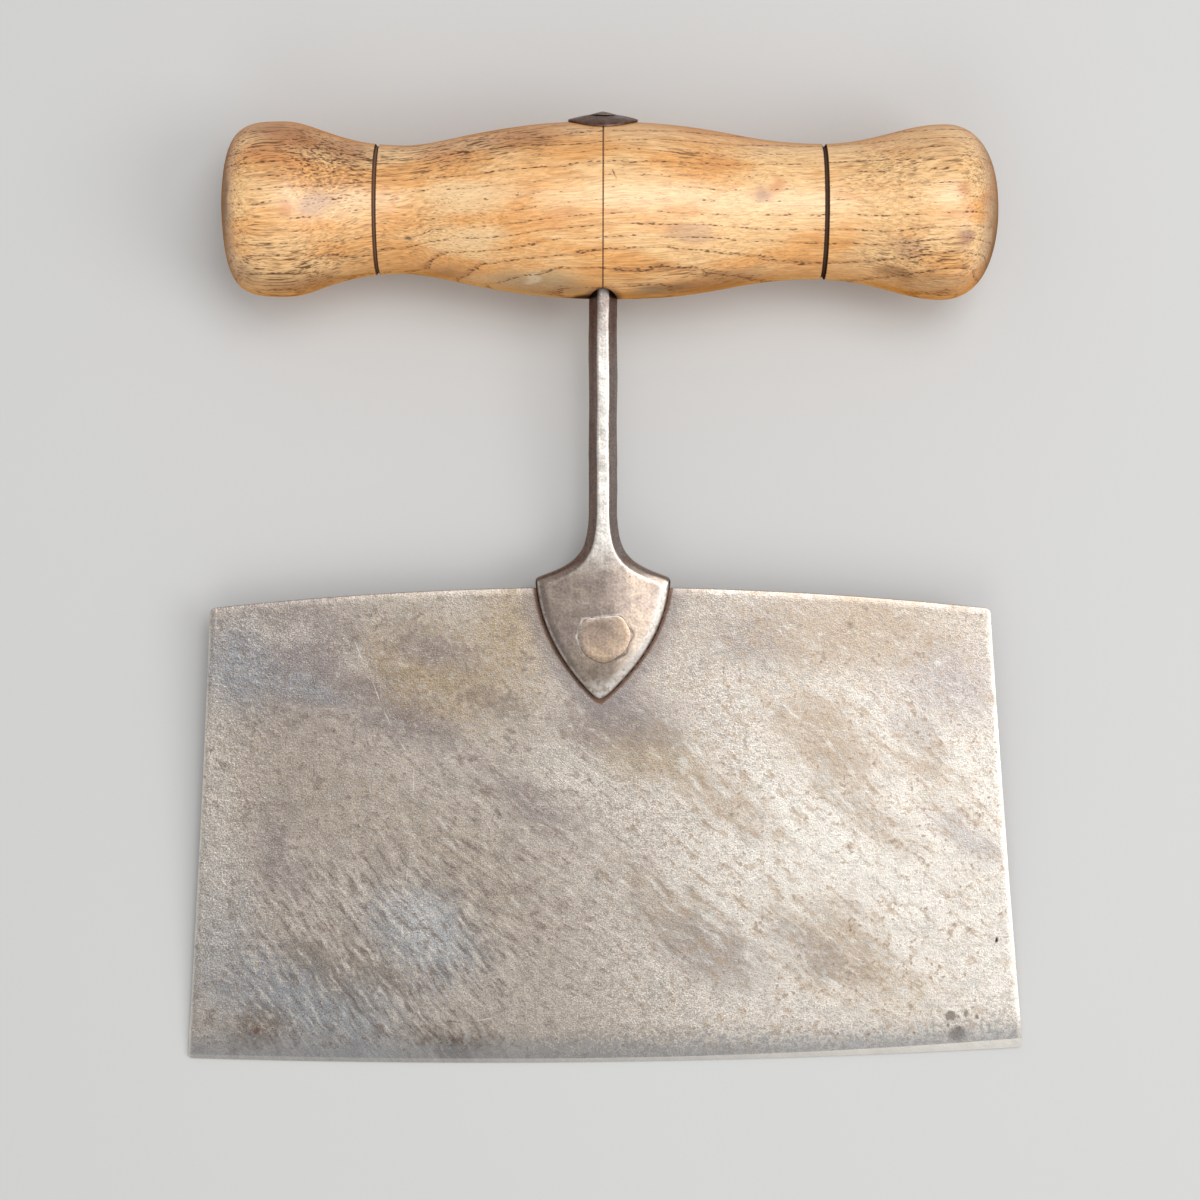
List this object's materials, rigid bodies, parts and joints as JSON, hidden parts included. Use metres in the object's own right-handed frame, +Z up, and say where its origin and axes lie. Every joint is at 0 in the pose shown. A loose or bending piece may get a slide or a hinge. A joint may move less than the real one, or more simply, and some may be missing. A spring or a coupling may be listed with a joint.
{
  "type": "herb chopper",
  "caption": "Hand herb chopper with a broad flat steel blade hung from a turned wooden cross handle by an eight-sided forged shank, its shield-shaped palm riveted to the blade.",
  "frame": {"origin": "under the middle of the part's box, on the table that it lies on", "axes": "+X along the handle to the right seen from the front, +Y from the cutting edge to the handle, +Z up out of the table: the chopper lies on its back, so its front faces up"},
  "size_m": [0.166, 0.1862, 0.0343],
  "materials": {
    "blade_steel": "worn carbon steel with a mottled grey-brown patina",
    "shank_iron": "forged iron, dark in the hollows and polished on its front flat",
    "rivet_iron": "dressed flush with the palm",
    "handle_ash": "turned open-grained ash, hand-worn and waxed",
    "rove_iron": "dark brown forged iron"
  },
  "bodies": {
    "root": {"blade": "blade_steel", "tang_shank": "shank_iron", "palm_rivet": "rivet_iron", "handle": "handle_ash", "tang_rove": "rove_iron"}
  },
  "joints": []
}
